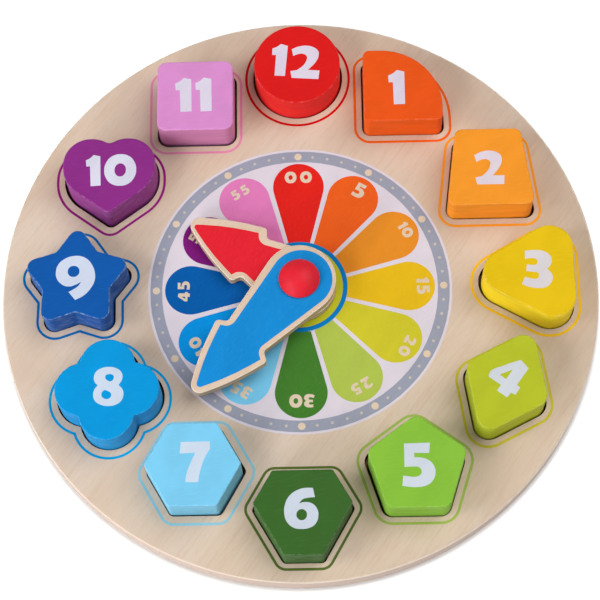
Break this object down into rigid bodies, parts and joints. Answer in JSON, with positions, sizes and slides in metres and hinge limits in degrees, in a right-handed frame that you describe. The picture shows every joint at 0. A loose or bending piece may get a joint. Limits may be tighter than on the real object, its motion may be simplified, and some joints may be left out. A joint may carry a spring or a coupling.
{
  "type": "teaching clock",
  "caption": "Round wooden teaching clock that is also a shape sorter: loose numbered blocks stand in matching pockets round a printed dial with two free-turning arrow hands.",
  "frame": {"origin": "centre of the board's flat underside", "axes": "+Z out of the dial face along the dowel of the hands, +Y from the middle to twelve o'clock, +X to three o'clock"},
  "size_m": [0.29, 0.29, 0.0307],
  "materials": {
    "bare_wood": "sanded bare wood, thin clear coat",
    "hand_wood": "sanded bare plywood edge",
    "washer": "matt",
    "knob_paint": "satin paint on wood",
    "paint_orange_red": "thin satin paint on wood, grain shows",
    "paint_orange": "thin satin paint on wood, grain shows",
    "paint_yellow": "thin satin paint on wood, grain shows",
    "paint_lime": "thin satin paint on wood, grain shows",
    "paint_light_green": "thin satin paint on wood, grain shows",
    "paint_dark_green": "thin satin paint on wood, grain shows",
    "paint_light_blue": "thin satin paint on wood, grain shows",
    "paint_blue": "thin satin paint on wood, grain shows",
    "paint_dark_blue": "thin satin paint on wood, grain shows",
    "paint_purple": "thin satin paint on wood, grain shows",
    "paint_pink": "thin satin paint on wood, grain shows",
    "paint_red": "thin satin paint on wood, grain shows"
  },
  "bodies": {
    "board": {"base_board": "bare_wood", "pocket_board": "bare_wood", "centre_dowel": "bare_wood", "lower_washer": "washer", "hand_washer": "washer", "knob": "knob_paint"},
    "hour_hand": {"hour_hand": "hand_wood"},
    "minute_hand": {"minute_hand": "hand_wood"},
    "block_01_quarter_round": {"block_01_quarter_round": "paint_orange_red"},
    "block_02_trapezoid": {"block_02_trapezoid": "paint_orange"},
    "block_03_triangle": {"block_03_triangle": "paint_yellow"},
    "block_04_rhombus": {"block_04_rhombus": "paint_lime"},
    "block_05_pentagon": {"block_05_pentagon": "paint_light_green"},
    "block_06_cut_triangle": {"block_06_cut_triangle": "paint_dark_green"},
    "block_07_hexagon": {"block_07_hexagon": "paint_light_blue"},
    "block_08_quatrefoil": {"block_08_quatrefoil": "paint_blue"},
    "block_09_star": {"block_09_star": "paint_dark_blue"},
    "block_10_heart": {"block_10_heart": "paint_purple"},
    "block_11_square": {"block_11_square": "paint_pink"},
    "block_12_circle": {"block_12_circle": "paint_red"}
  },
  "joints": [
    {"name": "hour_hand_turn", "type": "hinge", "parent": "board", "child": "hour_hand", "pos_m": [0, 0, 0.01535], "axis": [0, 0, 1], "continuous": true},
    {"name": "minute_hand_turn", "type": "hinge", "parent": "board", "child": "minute_hand", "pos_m": [0, 0, 0.02155], "axis": [0, 0, 1], "continuous": true},
    {"name": "block_01_lift", "type": "slide", "parent": "board", "child": "block_01_quarter_round", "axis": [0, 0, 1], "range_m": [0, 0.03]},
    {"name": "block_02_lift", "type": "slide", "parent": "board", "child": "block_02_trapezoid", "axis": [0, 0, 1], "range_m": [0, 0.03]},
    {"name": "block_03_lift", "type": "slide", "parent": "board", "child": "block_03_triangle", "axis": [0, 0, 1], "range_m": [0, 0.03]},
    {"name": "block_04_lift", "type": "slide", "parent": "board", "child": "block_04_rhombus", "axis": [0, 0, 1], "range_m": [0, 0.03]},
    {"name": "block_05_lift", "type": "slide", "parent": "board", "child": "block_05_pentagon", "axis": [0, 0, 1], "range_m": [0, 0.03]},
    {"name": "block_06_lift", "type": "slide", "parent": "board", "child": "block_06_cut_triangle", "axis": [0, 0, 1], "range_m": [0, 0.03]},
    {"name": "block_07_lift", "type": "slide", "parent": "board", "child": "block_07_hexagon", "axis": [0, 0, 1], "range_m": [0, 0.03]},
    {"name": "block_08_lift", "type": "slide", "parent": "board", "child": "block_08_quatrefoil", "axis": [0, 0, 1], "range_m": [0, 0.03]},
    {"name": "block_09_lift", "type": "slide", "parent": "board", "child": "block_09_star", "axis": [0, 0, 1], "range_m": [0, 0.03]},
    {"name": "block_10_lift", "type": "slide", "parent": "board", "child": "block_10_heart", "axis": [0, 0, 1], "range_m": [0, 0.03]},
    {"name": "block_11_lift", "type": "slide", "parent": "board", "child": "block_11_square", "axis": [0, 0, 1], "range_m": [0, 0.03]},
    {"name": "block_12_lift", "type": "slide", "parent": "board", "child": "block_12_circle", "axis": [0, 0, 1], "range_m": [0, 0.03]}
  ]
}
